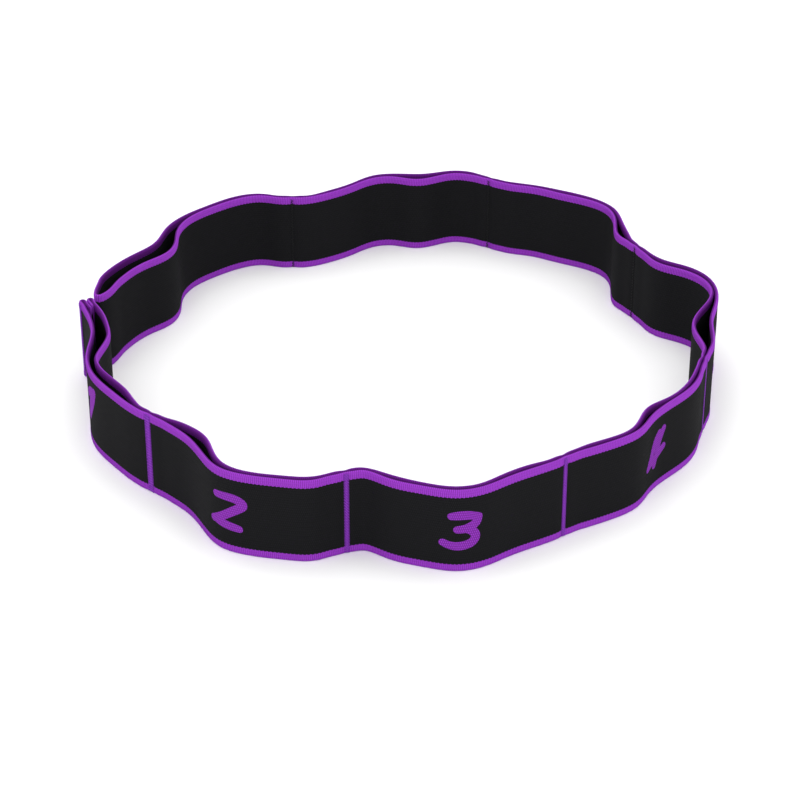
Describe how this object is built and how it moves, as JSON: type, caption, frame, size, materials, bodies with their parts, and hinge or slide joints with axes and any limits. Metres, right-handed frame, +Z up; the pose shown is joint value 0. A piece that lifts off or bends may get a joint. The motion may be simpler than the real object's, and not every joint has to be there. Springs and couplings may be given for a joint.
{
  "type": "stretching strap",
  "caption": "Elastic stretching strap made of two layers of webbing sewn through at cross seams into a row of loops for hands and feet, standing on edge in an open ring.",
  "frame": {"origin": "middle of the strap's footprint, on the surface that it stands on", "axes": "+Z up along the width of the webbing, +X to the right and +Y to the back as seen from the numbered side of loops 2 and 3; the two ends of the strap meet at -X"},
  "size_m": [0.288, 0.3005, 0.038],
  "materials": {
    "webbing": "woven black polyester elastic webbing with purple woven edges, matt",
    "needle_thread": "purple polyester sewing thread, close satin stitch",
    "bobbin_thread": "black polyester sewing thread, one row"
  },
  "bodies": {
    "loop_1": {"inner_web_1": "webbing", "seam_join_1": "webbing", "needle_bar_1": "needle_thread", "bobbin_row_1": "bobbin_thread", "hem": "webbing", "hem_needle_bar": "needle_thread", "hem_bobbin_row": "bobbin_thread"},
    "outer_1": {"outer_web_1": "webbing"},
    "loop_2": {"inner_web_2": "webbing", "seam_join_2": "webbing", "needle_bar_2": "needle_thread", "bobbin_row_2": "bobbin_thread"},
    "outer_2": {"outer_web_2": "webbing"},
    "loop_3": {"inner_web_3": "webbing", "seam_join_3": "webbing", "needle_bar_3": "needle_thread", "bobbin_row_3": "bobbin_thread"},
    "outer_3": {"outer_web_3": "webbing"},
    "loop_4": {"inner_web_4": "webbing", "seam_join_4": "webbing", "needle_bar_4": "needle_thread", "bobbin_row_4": "bobbin_thread"},
    "outer_4": {"outer_web_4": "webbing"},
    "loop_5": {"inner_web_5": "webbing", "seam_join_5": "webbing", "needle_bar_5": "needle_thread", "bobbin_row_5": "bobbin_thread"},
    "outer_5": {"outer_web_5": "webbing"},
    "loop_6": {"inner_web_6": "webbing", "seam_join_6": "webbing", "needle_bar_6": "needle_thread", "bobbin_row_6": "bobbin_thread"},
    "outer_6": {"outer_web_6": "webbing"},
    "loop_7": {"inner_web_7": "webbing", "seam_join_7": "webbing", "needle_bar_7": "needle_thread", "bobbin_row_7": "bobbin_thread"},
    "outer_7": {"outer_web_7": "webbing"},
    "loop_8": {"inner_web_8": "webbing", "end_fold": "webbing"},
    "outer_8": {"outer_web_8": "webbing"}
  },
  "joints": [
    {"name": "seam_1_hinge", "type": "hinge", "parent": "loop_2", "child": "loop_1", "pos_m": [-0.1032, -0.0897, 0.019], "axis": [0, 0, 1], "range_deg": [0, 40]},
    {"name": "seam_2_hinge", "type": "hinge", "parent": "loop_3", "child": "loop_2", "pos_m": [-0.022, -0.1357, 0.019], "axis": [0, 0, 1], "range_deg": [0, 37.3]},
    {"name": "seam_3_hinge", "type": "hinge", "parent": "loop_4", "child": "loop_3", "pos_m": [0.0655, -0.1237, 0.019], "axis": [0, 0, 1], "range_deg": [0, 43.7]},
    {"name": "seam_4_hinge", "type": "hinge", "parent": "loop_4", "child": "loop_5", "pos_m": [0.1306, -0.042, 0.019], "axis": [0, 0, -1], "range_deg": [0, 48.7]},
    {"name": "seam_5_hinge", "type": "hinge", "parent": "loop_5", "child": "loop_6", "pos_m": [0.1113, 0.0651, 0.019], "axis": [0, 0, -1], "range_deg": [0, 31.2]},
    {"name": "seam_6_hinge", "type": "hinge", "parent": "loop_6", "child": "loop_7", "pos_m": [0.045, 0.1403, 0.019], "axis": [0, 0, -1], "range_deg": [0, 60.9]},
    {"name": "seam_7_hinge", "type": "hinge", "parent": "loop_7", "child": "loop_8", "pos_m": [-0.0525, 0.1191, 0.019], "axis": [0, 0, -1], "range_deg": [0, 38.5]},
    {"name": "loop_1_open", "type": "slide", "parent": "loop_1", "child": "outer_1", "axis": [-0.9367, -0.3502, 0], "range_m": [0, 0.025], "stiffness_N_per_m": 8},
    {"name": "loop_2_open", "type": "slide", "parent": "loop_2", "child": "outer_2", "axis": [-0.4924, -0.8704, 0], "range_m": [0, 0.025], "stiffness_N_per_m": 8},
    {"name": "loop_3_open", "type": "slide", "parent": "loop_3", "child": "outer_3", "axis": [0.1357, -0.9907, 0], "range_m": [0, 0.025], "stiffness_N_per_m": 8},
    {"name": "loop_4_open", "type": "slide", "parent": "loop_4", "child": "outer_4", "axis": [0.7826, -0.6225, 0], "range_m": [0, 0.025], "stiffness_N_per_m": 8},
    {"name": "loop_5_open", "type": "slide", "parent": "loop_5", "child": "outer_5", "axis": [0.9842, 0.1771, 0], "range_m": [0, 0.025], "stiffness_N_per_m": 8},
    {"name": "loop_6_open", "type": "slide", "parent": "loop_6", "child": "outer_6", "axis": [0.7501, 0.6613, 0], "range_m": [0, 0.025], "stiffness_N_per_m": 8},
    {"name": "loop_7_open", "type": "slide", "parent": "loop_7", "child": "outer_7", "axis": [-0.213, 0.977, 0], "range_m": [0, 0.025], "stiffness_N_per_m": 8},
    {"name": "loop_8_open", "type": "slide", "parent": "loop_8", "child": "outer_8", "axis": [-0.7749, 0.632, 0], "range_m": [0, 0.025], "stiffness_N_per_m": 8}
  ]
}
